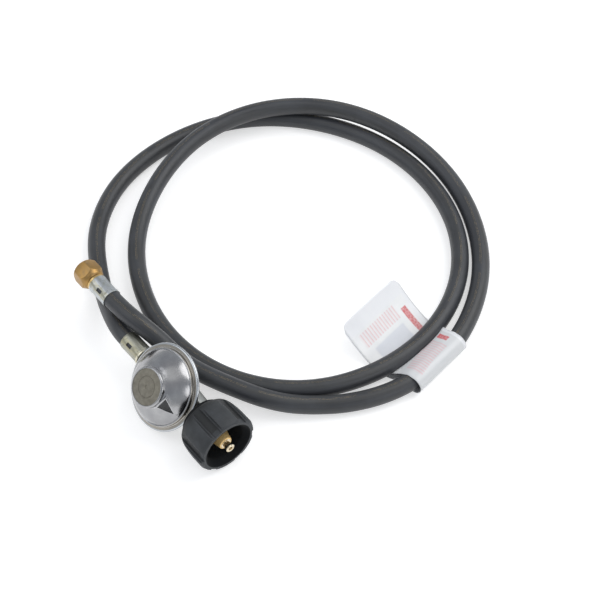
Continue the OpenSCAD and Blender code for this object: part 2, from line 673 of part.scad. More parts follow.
module poppet_cage() color([0.86, 0.84, 0.78]) on_port_axis() difference() {
  union() {
    translate([0, 0, cage_x]) cylinder(r = check_r - fit, h = taper_end - cage_x);
    translate([0, 0, taper_end - e]) cylinder(r = tip_neck_r, h = nose_len - 0.4 + e);
    translate([0, 0, tip_x - tip_t]) cylinder(r = tip_r, h = tip_t - 0.4 + e);
    translate([0, 0, tip_x - 0.4]) cylinder(r1 = tip_r, r2 = tip_r - 0.4, h = 0.4);
  }
  translate([0, 0, cage_x - 1]) cylinder(r = tip_bore_r, h = tip_x);
  translate([0, 0, cage_x - 1]) cylinder(r = check_r - 1.2, h = taper_end - cage_x - 1);
}

// ---------------------------------------------------------------- outlet and hose

// Everything below stands on a ferrule's mouth, with Z from the hose towards the fitting
module barbed_tail() rotate_extrude() polygon(concat(
  [[stem_bore_r, 0.8]],
  [for (k = [0:3]) each [[barb_r - 0.5, 0.8 + 4 * k], [barb_r, 3.6 + 4 * k], [barb_r - 0.5, 3.8 + 4 * k]]],
  [[barb_r - 0.5, hose_grip], [stem_neck_r - fit, hose_grip], [stem_neck_r - fit, ferrule_len + e],
   [stem_bore_r, ferrule_len + e]]));

module ferrule() difference() {
  cylinder(r = ferrule_d / 2, h = ferrule_len);
  translate([0, 0, -e]) cylinder(r = hose_r + 0.1, h = hose_grip + 0.1 + e);
  translate([0, 0, hose_grip]) cylinder(r = stem_neck_r, h = ferrule_len);
  // lengthwise crimp flats, and the stamped window
  for (k = [0:7]) rotate(45 * k + 22.5) translate([ferrule_d / 2 - 0.22, -3, 3])
    cube([2, 6, ferrule_len - 5]);
  rotate(-90) translate([ferrule_d / 2 - 2, -1.5, 6]) cube([4, 3, 5.5]);
}

module outlet_stem() color([0.75, 0.74, 0.7]) on_start() difference() {
  union() {
    barbed_tail();
    translate([0, 0, ferrule_len]) cylinder(r = ferrule_d / 2 + 0.4, h = collar_len);
    translate([0, 0, ferrule_len + collar_len - e]) cylinder(r = shank_r, h = 9 + e);
  }
  translate([0, 0, -1]) cylinder(r = stem_bore_r, h = ferrule_len + collar_len + 12);
}

module regulator_ferrule() color([0.72, 0.69, 0.58]) on_start() ferrule();

module hose() color([0.2, 0.21, 0.22]) difference() {
  swept_tube(hose_path, hose_r, hose_sides);
  on_start() cylinder(r = hose_bore_d / 2, h = hose_grip + 1);
  on_fitting() cylinder(r = hose_bore_d / 2, h = hose_grip + 1);
}

module fitting_ferrule() color([0.72, 0.69, 0.58]) on_fitting() ferrule();

// Stem with a 45-degree flare nose, held by the flare nut
flare_z = ferrule_len + collar_len + gap;
flare_web = 3.6;
head_z = flare_z + flare_web + gap;
head_r = flare_thread_d / 2 - 0.35;
nose_run = 2.9;
head_t = 2;
relief_len = gap + head_t + nose_run + 0.2;
module fitting_stem() color([0.8, 0.7, 0.42]) on_fitting() difference() {
  union() {
    barbed_tail();
    translate([0, 0, ferrule_len]) cylinder(r = ferrule_d / 2 - 0.4, h = collar_len);
    translate([0, 0, ferrule_len]) cylinder(r = stem_neck_r + 0.2, h = head_z - ferrule_len + e);
    translate([0, 0, head_z]) cylinder(r = head_r, h = head_t);
    translate([0, 0, head_z + head_t - e]) cylinder(r1 = head_r, r2 = head_r - nose_run, h = nose_run + e);
  }
  translate([0, 0, -1]) cylinder(r = stem_bore_r, h = flare_z + flare_len);
}

module flare_nut() color([0.79, 0.66, 0.38]) on_fitting() translate([0, 0, flare_z]) difference() {
  intersection() {
    cylinder(r = flare_af / sqrt(3), h = flare_len, $fn = 6);
    // domed back shoulder and bevelled front corners
    rotate_extrude() polygon(concat(
      [[0, 0]], arc(flare_af / 2 - 4.6, 4.4, 4.4, -90, -12, 6),
      [[flare_af / sqrt(3) + 0.05, 5.6], [flare_af / sqrt(3) + 0.05, flare_len - 2.4],
       [flare_af / 2 + 0.3, flare_len - 0.9], [flare_af / 2 - 0.6, flare_len], [0, flare_len]]));
  }
  translate([0, 0, -1]) cylinder(r = stem_neck_r + 0.2 + run, h = flare_web + 2);
  // clearance round the stem's head, then the thread
  translate([0, 0, flare_web]) cylinder(r = flare_thread_d / 2 + 0.35, h = relief_len);
  translate([0, 0, flare_web]) cylinder(r = flare_thread_d / 2, h = flare_len);
}

// ---------------------------------------------------------------- tag

// Laminated sheet folded round the hose: a loose sleeve, then both halves together as a flag that
// passes under the inner turn and springs up beyond it
tag_at = [76.9, 184.8];
tag_turn = 10;
sleeve_in = hose_r + 0.35;
sleeve_slack = 3.4;
tag_lie = 0.05;
flag_under = 29;
flag_reach = 74;
flag_rise = 20;
function flag_z(u) = tag_lie + flag_rise * pow(max(0, (-u - flag_under) / (flag_reach - flag_under)), 1.3);
tag_mid = tag_lie + tag_t + sleeve_in;
module tag_outline() {
  lean = sleeve_slack / 2;
  flag = [for (i = [0:8]) let (u = -flag_under - (flag_reach - flag_under) * i / 8) [u, flag_z(u)]];
  top = [for (i = [8:-1:0]) [flag[i][0], flag[i][1] + 2 * tag_t]];
  outer = sleeve_in + tag_t;
  difference() {
    polygon(concat(
      [[0, tag_lie]], flag, top, [[-13.5, tag_lie + 2 * tag_t]],
      arc(-lean, tag_mid, outer, 150, 90, 4), arc(lean, tag_mid, outer, 90, -90, 12)));
    polygon(concat(
      [[-12.3, tag_lie + tag_t + 0.15]],
      arc(-lean, tag_mid, sleeve_in, 150, 90, 4), arc(lean, tag_mid, sleeve_in, 90, -90, 12)));
  }
}
module instruction_tag() color([0.93, 0.93, 0.91]) translate([tag_at[0], tag_at[1], 0]) rotate(tag_turn)
  rotate([90, 0, 0]) translate([0, 0, -tag_w / 2]) linear_extrude(height = tag_w) tag_outline();

// ---------------------------------------------------------------- the assembly

lower_body();
diaphragm_cover();
tower_cap();
adjusting_screw();
vent_screen();
diaphragm();
diaphragm_plate();
pressure_post();
relief_spring();
relief_retainer();
main_spring();
lever();
lever_pin();
valve_slide();
seat_disc();
orifice();
inlet_nipple();
retaining_ring();
thermal_bushing();
wheel_nut();
flow_poppet();
poppet_spring();
poppet_cage();
outlet_stem();
regulator_ferrule();
hose();
fitting_ferrule();
fitting_stem();
flare_nut();
instruction_tag();
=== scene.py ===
"""Looks of the propane regulator hose: its finishes, the hose and the film tag, and the studio."""
import json
import math
from math import cos, pi, radians, sin

import bmesh
import bpy
import numpy as np
from mathutils import Matrix, Vector

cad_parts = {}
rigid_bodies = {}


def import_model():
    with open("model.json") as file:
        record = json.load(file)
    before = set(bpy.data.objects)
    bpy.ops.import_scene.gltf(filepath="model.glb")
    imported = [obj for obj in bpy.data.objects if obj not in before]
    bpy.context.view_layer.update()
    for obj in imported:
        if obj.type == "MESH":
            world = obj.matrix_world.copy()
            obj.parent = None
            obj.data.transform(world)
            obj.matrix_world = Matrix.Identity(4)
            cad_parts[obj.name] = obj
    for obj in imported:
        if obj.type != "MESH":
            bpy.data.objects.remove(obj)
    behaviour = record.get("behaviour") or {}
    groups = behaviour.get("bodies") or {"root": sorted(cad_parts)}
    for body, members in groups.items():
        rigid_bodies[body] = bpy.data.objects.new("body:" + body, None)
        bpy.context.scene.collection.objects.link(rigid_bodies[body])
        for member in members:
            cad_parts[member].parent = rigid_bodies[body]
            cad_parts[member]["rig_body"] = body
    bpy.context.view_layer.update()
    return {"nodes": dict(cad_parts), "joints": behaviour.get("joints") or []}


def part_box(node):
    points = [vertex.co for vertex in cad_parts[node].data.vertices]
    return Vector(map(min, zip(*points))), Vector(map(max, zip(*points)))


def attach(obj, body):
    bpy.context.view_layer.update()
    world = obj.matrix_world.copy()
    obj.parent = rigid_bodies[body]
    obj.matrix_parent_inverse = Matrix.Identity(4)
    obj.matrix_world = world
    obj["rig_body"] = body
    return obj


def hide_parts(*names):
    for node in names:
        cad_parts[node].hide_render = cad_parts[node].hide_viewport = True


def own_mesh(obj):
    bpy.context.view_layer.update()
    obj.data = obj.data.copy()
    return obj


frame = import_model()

MM = 0.001


# ------------------------------------------------------------------ places taken from the frame

def middle(node):
    """Centre of a node's box."""
    low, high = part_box(node)
    return (low + high) / 2


def joint_called(name):
    """What the frame says of a joint."""
    return next(joint for joint in frame["joints"] if joint["name"] == name)


LIFT_AXIS = Vector(joint_called("diaphragm_lift")["axis"])
TILT = math.atan2(-LIFT_AXIS.y, LIFT_AXIS.z)
PORT = middle("thermal_bushing")
REGULATOR = Vector((middle("diaphragm").x, PORT.y, PORT.z))
START = Vector((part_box("regulator_ferrule")[0].x, PORT.y, PORT.z))
FITTING = Vector((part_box("fitting_ferrule")[1].x, *middle("fitting_ferrule").yz))


# ------------------------------------------------------------------ camera

# Fitted to the photograph's round turns of hose and round wheel nut.
AIM = Vector((-46.0, 144.3, 0)) * MM
AZIMUTH = radians(51.4)
ELEVATION = radians(50)
DISTANCE = 1.3225
LENS_PX = 1646.3    # focal length, in pixels of a frame this wide
FRAME_PX = 592
SENSOR_MM = 36


def add_object(name, data):
    """A new object in the scene."""
    made = bpy.data.objects.new(name, data)
    bpy.context.scene.collection.objects.link(made)
    return made


def point(thing, at, direction):
    """Puts a camera or a lamp at a place, looking in a direction."""
    thing.location = at
    thing.rotation_mode = "QUATERNION"
    thing.rotation_quaternion = direction.to_track_quat("-Z", "Y")


def make_camera():
    """The camera of the photograph: azimuth 0 looks along +Y."""
    back = Vector((sin(AZIMUTH) * cos(ELEVATION), -cos(AZIMUTH) * cos(ELEVATION), sin(ELEVATION)))
    data = bpy.data.cameras.new("camera")
    data.sensor_width = SENSOR_MM
    data.lens = LENS_PX / FRAME_PX * SENSOR_MM
    camera = add_object("camera", data)
    point(camera, AIM + back * DISTANCE, -back)
    bpy.context.scene.camera = camera


# ------------------------------------------------------------------ meshes

def mesh_object(name, points, faces, smooth=True, uvs=None):
    """A mesh from points and faces; uvs holds one (u, v) for each face's corner."""
    mesh = bpy.data.meshes.new(name)
    mesh.from_pydata([tuple(p) for p in points], [], faces)
    if uvs is not None:
        layer = mesh.uv_layers.new(name="UVMap")
        layer.data.foreach_set("uv", np.array(uvs, np.float32).ravel())
    mesh.polygons.foreach_set("use_smooth", [smooth] * len(mesh.polygons))
    mesh.update()
    return add_object(name, mesh)


def run_lengths(points):
    """How far along a line each of its points is."""
    return np.concatenate([[0], np.cumsum(np.linalg.norm(np.diff(points, axis=0), axis=1))])


def swept(name, path, radius, sides):
    """A closed tube along a path. Its uv holds the share of the way round, and metres along."""
    ahead = np.gradient(path, axis=0)
    ahead /= np.linalg.norm(ahead, axis=1)[:, None]
    side = np.cross([0, 0, 1], ahead)
    side /= np.linalg.norm(side, axis=1)[:, None]
    up = np.cross(ahead, side)
    along = run_lengths(path)
    angle = 2 * pi * np.arange(sides) / sides
    rings = (path[:, None] + radius * (np.cos(angle)[None, :, None] * side[:, None]
                                       + np.sin(angle)[None, :, None] * up[:, None]))
    faces, uvs = [], []
    for i in range(len(path) - 1):
        for k in range(sides):
            m = (k + 1) % sides
            faces.append((i * sides + k, i * sides + m, (i + 1) * sides + m, (i + 1) * sides + k))
            uvs += [(k / sides, along[i]), ((k + 1) / sides, along[i]),
                    ((k + 1) / sides, along[i + 1]), (k / sides, along[i + 1])]
    last = (len(path) - 1) * sides
    faces += [tuple(reversed(range(sides))), tuple(range(last, last + sides))]
    uvs += [(0, along[0])] * sides + [(0, along[-1])] * sides
    return mesh_object(name, rings.reshape(-1, 3), faces, uvs=uvs)


# ------------------------------------------------------------------ hose

HOSE_R = 7.25 * MM
HOSE_SIDES = 40
ROUTE_STEP = 2.5 * MM
GRIP = 18 * MM         # how far each ferrule holds the hose
HEAD_STEP = 13 * MM    # between the route's first points
LIE = 7.45 * MM        # height of the hose's middle where it lies on the floor
COIL_AT = Vector((-85, 175, 0)) * MM
COIL_FROM, COIL_STEP = 204, 24
# Radius and lift of each point of the coil, in millimetres.
COIL_ROWS = [
    (164, 0), (158.5, 0), (152, 0), (142.5, 0), (136, 0), (132.5, 0), (133, 0), (136, 0.4),
    (140.5, 0.9), (145.5, 0.9), (149.5, 0.4), (146, 0), (138.5, 0), (131.5, 0),
    (130, 1), (131.5, 6.5), (138, 12.5), (145, 14.8), (148, 14.8), (146.5, 12.6), (148.5, 4),
    (149, 0.4), (153.5, 0.2), (161.5, 0.5)]
# Points between the regulator and the coil, and from the coil to the far ferrule, in millimetres.
LEAD = [(-97, 6.5, 22.4), (-111.4, 11.2, 18), (-127.3, 17.2, 13.3), (-147.4, 26.2, 9.3),
        (-171.4, 38.6, 7.7), (-203, 61, 7.45)]
TAIL = [(80.5, 151.7, 7.95), (69, 112, 7.7), (55.5, 89.2, 8), (41.4, 69.4, 10.8), (25, 54.4, 14.2),
        (7, 43.8, 16.2), (-10, 35.8, 16.7), (-27, 29.4, 17.2), (-42.5, 24.9, 20), (-57, 21.8, 26),
        (-70.5, 16.4, 34.2), (-84, 12.9, 37.6), (-97, 12, 37.4)]


def hose_route():
    """The hose's points, from inside the regulator's ferrule to inside the far one."""
    points = [START + Vector((GRIP + HEAD_STEP * k, 0, 0)) for k in (1, 0, -1, -2)]
    points += [Vector(p) * MM for p in LEAD]
    for i, (radius, lift) in enumerate(COIL_ROWS):
        angle = radians(COIL_FROM - COIL_STEP * i)
        points.append(COIL_AT + Vector((radius * cos(angle), radius * sin(angle), lift)) * MM
                      + Vector((0, 0, LIE)))
    points += [Vector(p) * MM for p in TAIL]
    return points + [FITTING - Vector((GRIP * k / 2, 0, 0)) for k in range(4)]


def spline(points, step):
    """Cubic B-spline that runs within a tenth of a millimetre of the points."""
    p = np.array([tuple(q) for q in points])
    c = p.copy()
    c[1:-1] = (8 * p[1:-1] - p[:-2] - p[2:]) / 6
    found = []
    for i in range(len(p) - 3):
        n = max(1, math.ceil(np.linalg.norm(p[i + 2] - p[i + 1]) / step))
        for t in np.arange(n) / n:
            weights = ((1 - t) ** 3, 3 * t ** 3 - 6 * t * t + 4,
                       3 * t + 3 * t * t - 3 * t ** 3 + 1, t ** 3)
            found.append(sum(weight * c[i + k] for k, weight in enumerate(weights)) / 6)
    found.append((c[-3] + 4 * c[-2] + c[-1]) / 6)
    return np.array(found)


def make_hose():
    """The hose, a smooth rubber tube, and the line along its middle."""
    path = spline(hose_route(), ROUTE_STEP)
    return swept("rubber_hose", path, HOSE_R, HOSE_SIDES), path


# ------------------------------------------------------------------ tag

# In the tag's own frame, u runs across the hose, with the film's free ends on the minus side,
# v runs along the hose and z is up.
TAG_AT = Vector((76.9, 184.8, 0)) * MM
TAG_TURN = radians(10)
TAG_WIDTH = 62 * MM
TAG_CORNER = 6 * MM
TAG_ROWS, TAG_COLUMNS = 32, 190
FILM = 0.25 * MM
UPPER_Z, LOWER_Z = 0.62 * MM, 0.22 * MM

# The flag is the film's part beyond the inner strand: where it starts, ends and grows wider.
FLAG_UNDER, FLAG_END = 29 * MM, 69.2 * MM
FLAG_WIDENS_FROM = 8 * MM
FLAG_POINTS = 26
SLEEVE_EDGES = (-25.5, 31)    # in millimetres, as are the next three
FLAG_WIDER = (-5.5, 3.5)
FLAG_ASKEW = -2
FLAG_RISE, RISE_SLANT = 22.4, 1.4
RISE_POWER = 1.45
RIPPLE = 0.5 * MM
RIPPLE_PITCH, RIPPLE_PHASE = 2.2, 0.6
LIP = 1.2 * MM
LIP_FROM = 0.55
LIP_MOST = 0.6                # as a share of the layer's height

# Where the inner strand runs, as (v, u) in millimetres, and how the film lies on both strands.
INNER_STRAND = [(-34, -22.7), (-26, -21.1), (-18, -20.2), (-10, -19.9), (-2, -19.9), (6, -20.4),
                (14, -21.4), (22, -22.8), (30, -24.7), (36, -26.3)]
STRAND_Z = 8.4 * MM
STRAND_HUG = HOSE_R + 0.45 * MM
STRAND_TOUCH = -68    # degrees, as are the knee and the fold's start
KNEE, KNEE_DROP, KNEE_POWER = 22, 30, 1.5
FOLD_LEAN, FOLD_Z, FOLD_R = 1.7 * MM, 7.95 * MM, 7.75 * MM
FOLD_START = 112
UPPER_BESIDE, UPPER_BELOW, UPPER_LIFT = -3 * MM, 1.5 * MM, 0.02 * MM
LOWER_BELOW, LOWER_BESIDE = 6 * MM, -4 * MM
STRAND_POINTS, TOP_POINTS, FOLD_POINTS = 10, 5, 22


def share(value, start, end):
    """How far a value is on its way from start to end, kept within nought and one."""
    return min(1.0, max(0.0, (value - start) / (end - start)))


def arc_points(u, z, radius, start, end, count):
    """Points of an arc in the tag's cross-section."""
    turns = np.radians(np.linspace(start, end, count))
    return [(u + radius * cos(t), z + radius * sin(t)) for t in turns]


def evenly(points, count):
    """The same line with points at equal steps, and its length."""
    points = np.array(points)
    along = run_lengths(points)
    at = np.linspace(0, along[-1], count)
    return np.stack([np.interp(at, along, points[:, i]) for i in range(2)], 1), along[-1]


def across_at(v, u):
    """Where the film's line v runs at u: the sleeve is narrower than the flag, which is askew."""
    flag = share(-u, FLAG_WIDENS_FROM, FLAG_UNDER)
    flag = flag * flag * (3 - 2 * flag)
    out = share(-u, FLAG_UNDER, FLAG_END)
    low, high = [(edge + wider * flag + FLAG_ASKEW * out) * MM
                 for edge, wider in zip(SLEEVE_EDGES, FLAG_WIDER)]
    return low + (high - low) * (v / TAG_WIDTH + 0.5)


def flag_line(v, height):
    """One layer of the flag, from under the inner strand out to the free end."""
    side = v / (TAG_WIDTH / 2)
    rise = (FLAG_RISE - RISE_SLANT * side) * MM
    ripple = RIPPLE * sin(RIPPLE_PITCH * side + RIPPLE_PHASE)
    line = []
    for t in np.linspace(0, 1, FLAG_POINTS):
        u = -FLAG_UNDER - (FLAG_END - FLAG_UNDER) * t
        lip = LIP * max(0.0, (side - LIP_FROM) / (1 - LIP_FROM)) * 4 * t * (1 - t)
        line.append((u, height + rise * t ** RISE_POWER + ripple * t * t
                     - min(lip, height * LIP_MOST)))
    return line


def tag_row(v):
    """Cross-section of the film at v: upper layer in, round the hose, and lower layer out."""
    strand = np.interp(v / MM, *np.array(INNER_STRAND).T) * MM
    knee = KNEE - KNEE_DROP * max(0.0, v / (TAG_WIDTH / 2)) ** KNEE_POWER
    line = list(reversed(flag_line(v, UPPER_Z)))
    line += [(strand + UPPER_BESIDE, UPPER_Z), (strand + UPPER_BELOW, UPPER_Z + UPPER_LIFT)]
    line += arc_points(strand, STRAND_Z, STRAND_HUG, STRAND_TOUCH, knee, STRAND_POINTS)
    line += arc_points(-FOLD_LEAN, FOLD_Z, FOLD_R, FOLD_START, 90, TOP_POINTS)
    line += arc_points(FOLD_LEAN, FOLD_Z, FOLD_R, 90, -90, FOLD_POINTS)
    line += [(strand + LOWER_BELOW, LOWER_Z), (strand + LOWER_BESIDE, LOWER_Z)]
    return line + flag_line(v, LOWER_Z)


def corner_inset(v):
    """How much of the film's line v its rounded corners take at each end."""
    edge = TAG_WIDTH / 2 - abs(v)
    if edge >= TAG_CORNER:
        return 0.0
    return TAG_CORNER - math.sqrt(TAG_CORNER ** 2 - (TAG_CORNER - edge) ** 2)


def make_tag():
    """The laminated film tag, and its length when flat. Its uv holds metres along and across it."""
    points, lengths = [], []
    for i in range(TAG_ROWS + 1):
        v = TAG_WIDTH * (i / TAG_ROWS - 0.5)
        line, length = evenly(tag_row(across_at(v, -FLAG_UNDER)), 2 * TAG_COLUMNS)
        lengths.append(length)
        along = np.linspace(0, length, len(line))
        inset = corner_inset(v)
        for s in np.linspace(inset, length - inset, TAG_COLUMNS):
            u, z = (np.interp(s, along, line[:, k]) for k in range(2))
            points.append((u, across_at(v, u), z, s))
    place = Matrix.Translation(TAG_AT) @ Matrix.Rotation(TAG_TURN, 4, "Z")
    spots = [place @ Vector((u, -v, z)) for u, v, z, _ in points]
    faces, uvs = [], []
    for i in range(TAG_ROWS):
        for k in range(TAG_COLUMNS - 1):
            here, beyond = i * TAG_COLUMNS + k, (i + 1) * TAG_COLUMNS + k
            corners = (here, beyond, beyond + 1, here + 1)
            faces.append(corners)
            uvs += [(points[c][3], (c // TAG_COLUMNS) / TAG_ROWS * TAG_WIDTH) for c in corners]
    tag = mesh_object("film_tag", spots, faces, uvs=uvs)
    thick = tag.modifiers.new("thickness", "SOLIDIFY")
    thick.thickness, thick.offset = FILM, 0
    return tag, float(np.mean(lengths))


make_camera()
hose, hose_path = make_hose()
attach(hose, "regulator")
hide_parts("hose")
tag, tag_length = make_tag()
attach(tag, "regulator")
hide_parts("instruction_tag")


# ------------------------------------------------------------------ materials

NOISE_ROUGHNESS = 0.55
USUAL = (0.3, 0.7)        # where most values of one noise lie
USUAL_SUM = (0.7, 1.3)    # and of two noises added
EDGE_SAMPLES = 4
SHADE_SAMPLES = 8


class Finish:
    """One procedural material: a principled surface, and the nodes that feed it."""

    def __init__(self, name, **constants):
        self.data = bpy.data.materials.new(name)
        self.data.use_nodes = True
        self.tree = self.data.node_tree
        self.surface = self.tree.nodes["Principled BSDF"]
        for key, value in constants.items():
            socket = key.replace("_", " ").title().replace("Ior", "IOR")
            self.surface.inputs[socket].default_value = value
        self.place = self.node("TexCoord").outputs["Object"]

    def node(self, kind, inputs=None, **settings):
        """A shader node; an input is given as a value or as the socket that feeds it."""
        made = self.tree.nodes.new("ShaderNode" + kind)
        for key, value in settings.items():
            setattr(made, key, value)
        for key, value in (inputs or {}).items():
            if isinstance(value, bpy.types.NodeSocket):
                self.tree.links.new(value, made.inputs[key])
            else:
                made.inputs[key].default_value = value
        return made

    def math(self, kind, a, b=0.0):
        """One operation on two values, or on one."""
        return self.node("Math", {0: a, 1: b}, operation=kind).outputs[0]

    def hypotenuse(self, a, b):
        """Distance from an axis, from the places along two others."""
        squares = [self.math("MULTIPLY", side, side) for side in (a, b)]
        return self.math("SQRT", self.math("ADD", *squares))

    def noise(self, size, detail=3.0, stretch=(1, 1, 1), at=None):
        """Noise whose blotches are about size metres across."""
        scaled = self.node("VectorMath", {0: at or self.place, 1: stretch}, operation="MULTIPLY")
        made = self.node("TexNoise", {"Vector": scaled.outputs[0], "Scale": 1 / size,
                                      "Detail": detail, "Roughness": NOISE_ROUGHNESS})
        return made.outputs["Fac"]

    def spread(self, value, low, high, to_low=0.0, to_high=1.0):
        """The value, with low to high spread over to_low to to_high and held there."""
        return self.node("MapRange", {"Value": value, "From Min": low, "From Max": high,
                                      "To Min": to_low, "To Max": to_high}).outputs[0]

    def patches(self, size, detail=3.0, to_low=0.0, to_high=1.0):
        """Noise of this size, spread over its usual values."""
        return self.spread(self.noise(size, detail), *USUAL, to_low, to_high)

    def tool_marks(self, value, size):
        """Fine marks that change along this value only."""
        line = self.node("CombineXYZ", {0: value, 1: 0.0, 2: 0.0}).outputs[0]
        return self.noise(size, 2, at=line)

    def mix(self, share_of_b, a, b):
        """A colour between a and b."""
        a, b = ((*tone, 1) if isinstance(tone, tuple) else tone for tone in (a, b))
        return self.node("Mix", {"Factor": share_of_b, 6: a, 7: b}, data_type="RGBA").outputs[2]

    def colour(self, value):
        """Sets the surface's colour."""
        self.tree.links.new(value, self.surface.inputs["Base Color"])

    def rough(self, value):
        """Sets the surface's roughness."""
        self.tree.links.new(value, self.surface.inputs["Roughness"])

    def bump(self, height, depth):
        """Relief of depth metres where height goes from nought to one."""
        made = self.node("Bump", {"Height": height, "Distance": depth, "Strength": 1.0})
        before = self.surface.inputs["Normal"]
        if before.is_linked:
            self.tree.links.new(before.links[0].from_socket, made.inputs["Normal"])
        self.tree.links.new(made.outputs[0], before)

    def in_frame(self, at, tilt=0.0):
        """Coordinates in a frame at a place, turned about X."""
        return self.node("Mapping", {"Vector": self.place, "Location": tuple(at),
                                     "Rotation": (tilt, 0, 0)}, vector_type="TEXTURE").outputs[0]

    def split(self, vector):
        """The three parts of a vector."""
        return self.node("SeparateXYZ", {0: vector}).outputs

    def inside(self, value, low, high, soft):
        """One where value lies between low and high, with edges this soft."""
        up = self.spread(value, low - soft, low + soft)
        down = self.spread(value, high - soft, high + soft, 1.0, 0.0)
        return self.math("MULTIPLY", up, down)

    def highlit_edges(self, radius, low, high, most):
        """How much painted highlight an edge of about this radius gets; nought away from edges."""
        eased = self.node("Bevel", {"Radius": radius}, samples=EDGE_SAMPLES).outputs[0]
        normal = self.node("NewGeometry").outputs["Normal"]
        level = self.node("VectorMath", {0: eased, 1: normal}, operation="DOT_PRODUCT")
        bend = self.math("SUBTRACT", 1.0, level.outputs["Value"])
        return self.spread(bend, low, high, 0.0, most)


def from_cover_axis(f):
    """Distance from the axis of the regulator's cover."""
    x, y, _ = f.split(f.in_frame(REGULATOR, TILT))
    return f.hypotenuse(x, y)


def cast_zinc():
    """Die-cast zinc: cloudy grey with a fine sandy grain."""
    f = Finish("cast_zinc", metallic=0.85)
    f.colour(f.mix(f.patches(6 * MM, 4), (0.30, 0.31, 0.30), (0.40, 0.41, 0.40)))
    f.rough(f.patches(1.5 * MM, 4, 0.35, 0.49))
    f.bump(f.noise(0.35 * MM), 0.05 * MM)
    return f


GROOVE = (29.4 * MM, 31.9 * MM)    # from the cover's axis, as is the next
RIM_FROM = (31.9 * MM, 32.3 * MM)


def plated_cover():
    """Satin plating, faintly turned: straw in the rim's groove, a painted reflection that makes the
    rim itself brighter, and a painted highlight along its edges.
    """
    f = Finish("plated_cover", metallic=1.0)
    dark, pale, straw = (0.32, 0.32, 0.33), (0.40, 0.40, 0.405), (0.40, 0.33, 0.20)
    # painted reflection on the rim, and painted highlight on the edges
    rim_highlight, edge_highlight = (0.50, 0.52, 0.54), (0.80, 0.81, 0.83)
    reach = from_cover_axis(f)
    turned = f.tool_marks(reach, 0.25 * MM)
    plate = f.mix(f.patches(9 * MM), dark, pale)
    in_groove = f.inside(reach, *GROOVE, 0.5 * MM)
    plate = f.mix(f.math("MULTIPLY", in_groove, 0.35), plate, straw)
    # painted reflection: the rim is coloured brighter and bluer
    plate = f.mix(f.spread(reach, *RIM_FROM), plate, rim_highlight)
    # painted highlight along the cover's edges
    f.colour(f.mix(f.highlit_edges(0.7 * MM, 0.02, 0.16, 0.8), plate, edge_highlight))
    f.rough(f.spread(f.math("ADD", turned, f.noise(2.5 * MM, 4)), *USUAL_SUM, 0.16, 0.27))
    f.bump(turned, 0.004 * MM)
    f.bump(f.noise(3 * MM, 2), 0.02 * MM)
    return f


CAP_RING_PITCH = 0.9 * MM


def cap_plastic():
    """Grey-brown cap with faint turned rings."""
    f = Finish("cap_plastic", specular_ior_level=0.4)
    rings = f.math("SINE", f.math("MULTIPLY", from_cover_axis(f), 2 * pi / CAP_RING_PITCH))
    f.colour(f.mix(f.patches(3.5 * MM, 4), (0.165, 0.150, 0.118), (0.255, 0.238, 0.190)))
    f.rough(f.patches(0.8 * MM, 3, 0.42, 0.58))
    f.bump(rings, 0.012 * MM)
    f.bump(f.noise(0.4 * MM), 0.03 * MM)
    return f


WIRE_PITCH = 0.8 * MM


def vent_mesh():
    """Woven wire screen behind the vent's mouth."""
    f = Finish("vent_mesh", metallic=0.5)
    wire, gap = (0.14, 0.14, 0.14), (0.05, 0.05, 0.052)
    _, y, z = f.split(f.in_frame(REGULATOR, TILT))
    waves = [f.math("SINE", f.math("MULTIPLY", f.math("ADD", z, across), pi / WIRE_PITCH))
             for across in (y, f.math("MULTIPLY", y, -1.0))]
    weave = f.math("MINIMUM", *[f.math("ABSOLUTE", wave) for wave in waves])
    f.colour(f.mix(f.spread(weave, 0.1, 0.5), wire, gap))
    f.rough(f.patches(0.7 * MM, 3, 0.45, 0.6))
    f.bump(weave, -0.15 * MM)
    return f


def brass(name, base, tarnish, roughness, scratch=0.006 * MM, metallic=1.0):
    """Machined brass: tool marks round the port's axis and patches of tarnish."""
    f = Finish(name, metallic=metallic)
    marks = f.tool_marks(f.split(f.in_frame(PORT))[0], 0.22 * MM)
    patch = f.noise(4 * MM, 5)
    f.colour(f.mix(f.spread(patch, 0.42, 0.72), base, tarnish))
    f.rough(f.spread(f.math("ADD", marks, patch), *USUAL_SUM, roughness - 0.06, roughness + 0.1))
    f.bump(marks, scratch)
    f.bump(f.noise(0.9 * MM), 0.012 * MM)
    return f


STRAW_FLAT = (radians(112), radians(158))


def crimped_zinc(name, centre, tones):
    """Passivated zinc on a ferrule: lengthwise draw marks, greenish blooms and one straw flat."""
    f = Finish(name, metallic=0.95)
    straw, green = (0.38, 0.35, 0.23), (0.33, 0.325, 0.24)
    _, y, z = f.split(f.in_frame(centre))
    flat = f.inside(f.math("ARCTAN2", z, y), *STRAW_FLAT, radians(3))
    drawn = f.noise(0.6 * MM, stretch=(0.05, 1, 1))
    bloom = f.noise(5 * MM, 4)
    plain = f.mix(f.spread(drawn, *USUAL), *tones)
    stain = f.math("MULTIPLY", flat, f.spread(f.noise(2 * MM), 0.3, 0.6, 0.25, 0.75))
    plain = f.mix(stain, plain, straw)
    f.colour(f.mix(f.spread(bloom, 0.5, 0.75, 0.0, 0.7), plain, green))
    f.rough(f.patches(1.2 * MM, 4, 0.26, 0.42))
    f.bump(drawn, 0.015 * MM)
    return f


NUT_BORE = (20.0 * MM, 20.6 * MM)    # from the nut's axis, as is the next
NUT_BAYS = (22.3 * MM, 23.9 * MM)
NUT_FACE = 4.6 * MM                  # the bays end this far short of the nut's mouth


